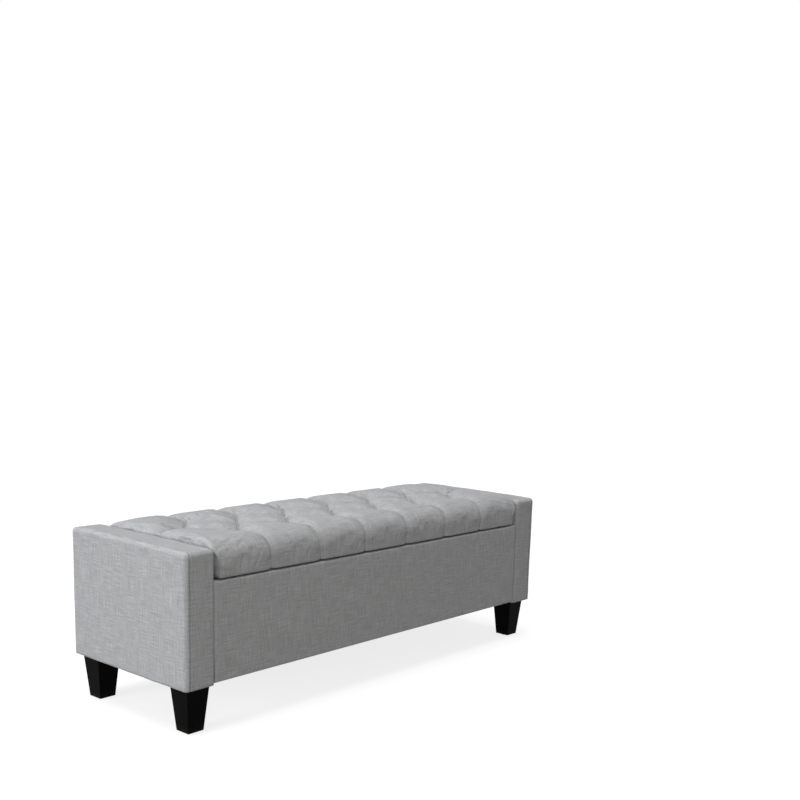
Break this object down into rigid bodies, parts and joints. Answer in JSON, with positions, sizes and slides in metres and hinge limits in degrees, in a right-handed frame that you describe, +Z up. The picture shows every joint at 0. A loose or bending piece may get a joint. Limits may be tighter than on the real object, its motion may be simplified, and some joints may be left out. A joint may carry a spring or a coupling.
{
  "type": "storage bench",
  "caption": "Long upholstered bench with a diamond-tufted lid over a storage box, boxed end panels and tapered dark wood legs.",
  "frame": {"origin": "on the floor under the middle of the bench", "axes": "+X along the bench to the right as seen from the front, -Y out of the front panel, +Z up"},
  "size_m": [1.3, 0.435, 0.432],
  "materials": {
    "linen_fabric": "light grey linen-look weave, matte",
    "upholstery_foam": "open-cell foam, matte",
    "black_lining": "non-woven polypropylene, matte",
    "espresso_wood": "near-black stain under satin lacquer",
    "softwood": "planed, raw",
    "plywood": "raw board",
    "felt": "pressed felt",
    "rubber_pad": "soft matte rubber",
    "waxed_twine": "waxed twine",
    "black_steel": "black oxide",
    "zinc_steel": "bright zinc plate"
  },
  "bodies": {
    "box": {"angle_bolts": "black_steel", "back_board": "plywood", "back_cover": "linen_fabric", "back_floor_rail": "softwood", "back_left_leg": "espresso_wood", "back_right_leg": "espresso_wood", "base_dust_cover": "black_lining", "bracket_screws": "zinc_steel", "centre_hinge_box_leaf": "zinc_steel", "corner_angles": "zinc_steel", "floor_board": "plywood", "floor_cross_rails": "softwood", "front_board": "plywood", "front_cover": "linen_fabric", "front_floor_rail": "softwood", "front_foam": "upholstery_foam", "front_left_leg": "espresso_wood", "front_right_leg": "espresso_wood", "hinge_box_screws": "zinc_steel", "hinge_pins": "zinc_steel", "left_end_cover": "linen_fabric", "left_end_foam": "upholstery_foam", "left_end_inner_board": "plywood", "left_end_outer_board": "plywood", "left_end_rails": "softwood", "left_hinge_box_leaf": "zinc_steel", "left_stay_box_bracket": "zinc_steel", "leg_bolts": "black_steel", "leg_glides": "felt", "leg_inserts": "zinc_steel", "lid_bumpers": "rubber_pad", "right_end_cover": "linen_fabric", "right_end_foam": "upholstery_foam", "right_end_inner_board": "plywood", "right_end_outer_board": "plywood", "right_end_rails": "softwood", "right_hinge_box_leaf": "zinc_steel", "right_stay_box_bracket": "zinc_steel", "storage_lining": "black_lining"},
    "lid": {"button_ties": "waxed_twine", "centre_hinge_lid_leaf": "zinc_steel", "hinge_lid_screws": "zinc_steel", "left_hinge_lid_leaf": "zinc_steel", "left_stay_lid_bracket": "zinc_steel", "lid_board": "plywood", "lid_buttons": "linen_fabric", "lid_cover": "linen_fabric", "lid_foam": "upholstery_foam", "lid_lining": "black_lining", "right_hinge_lid_leaf": "zinc_steel", "right_stay_lid_bracket": "zinc_steel", "stay_lid_screws": "zinc_steel", "tie_washers": "zinc_steel"},
    "left_lower_arm": {"left_stay_lower_arm": "zinc_steel", "left_stay_elbow_rivet": "zinc_steel"},
    "left_upper_arm": {"left_stay_upper_arm": "zinc_steel"},
    "right_lower_arm": {"right_stay_lower_arm": "zinc_steel", "right_stay_elbow_rivet": "zinc_steel"},
    "right_upper_arm": {"right_stay_upper_arm": "zinc_steel"}
  },
  "joints": [
    {"name": "lid_hinge", "type": "hinge", "parent": "box", "child": "lid", "pos_m": [0, 0.215, 0.3475], "axis": [-1, 0, 0], "range_deg": [0, 95]},
    {"name": "left_lower_arm_pivot", "type": "hinge", "parent": "box", "child": "left_lower_arm", "pos_m": [-0.5616, 0.144, 0.2375], "axis": [-1, 0, 0], "range_deg": [0, 95]},
    {"name": "left_elbow_pivot", "type": "hinge", "parent": "left_lower_arm", "child": "left_upper_arm", "pos_m": [-0.5582, -0.006, 0.228], "axis": [-1, 0, 0], "range_deg": [-95, 0]},
    {"name": "right_lower_arm_pivot", "type": "hinge", "parent": "box", "child": "right_lower_arm", "pos_m": [0.5616, 0.144, 0.2375], "axis": [-1, 0, 0], "range_deg": [0, 95]},
    {"name": "right_elbow_pivot", "type": "hinge", "parent": "right_lower_arm", "child": "right_upper_arm", "pos_m": [0.5582, -0.006, 0.228], "axis": [-1, 0, 0], "range_deg": [-95, 0]}
  ],
  "couplings": [
    {"joint": "left_lower_arm_pivot", "follows": "lid_hinge", "ratio": 1},
    {"joint": "left_elbow_pivot", "follows": "lid_hinge", "ratio": -1},
    {"joint": "right_lower_arm_pivot", "follows": "lid_hinge", "ratio": 1},
    {"joint": "right_elbow_pivot", "follows": "lid_hinge", "ratio": -1}
  ]
}
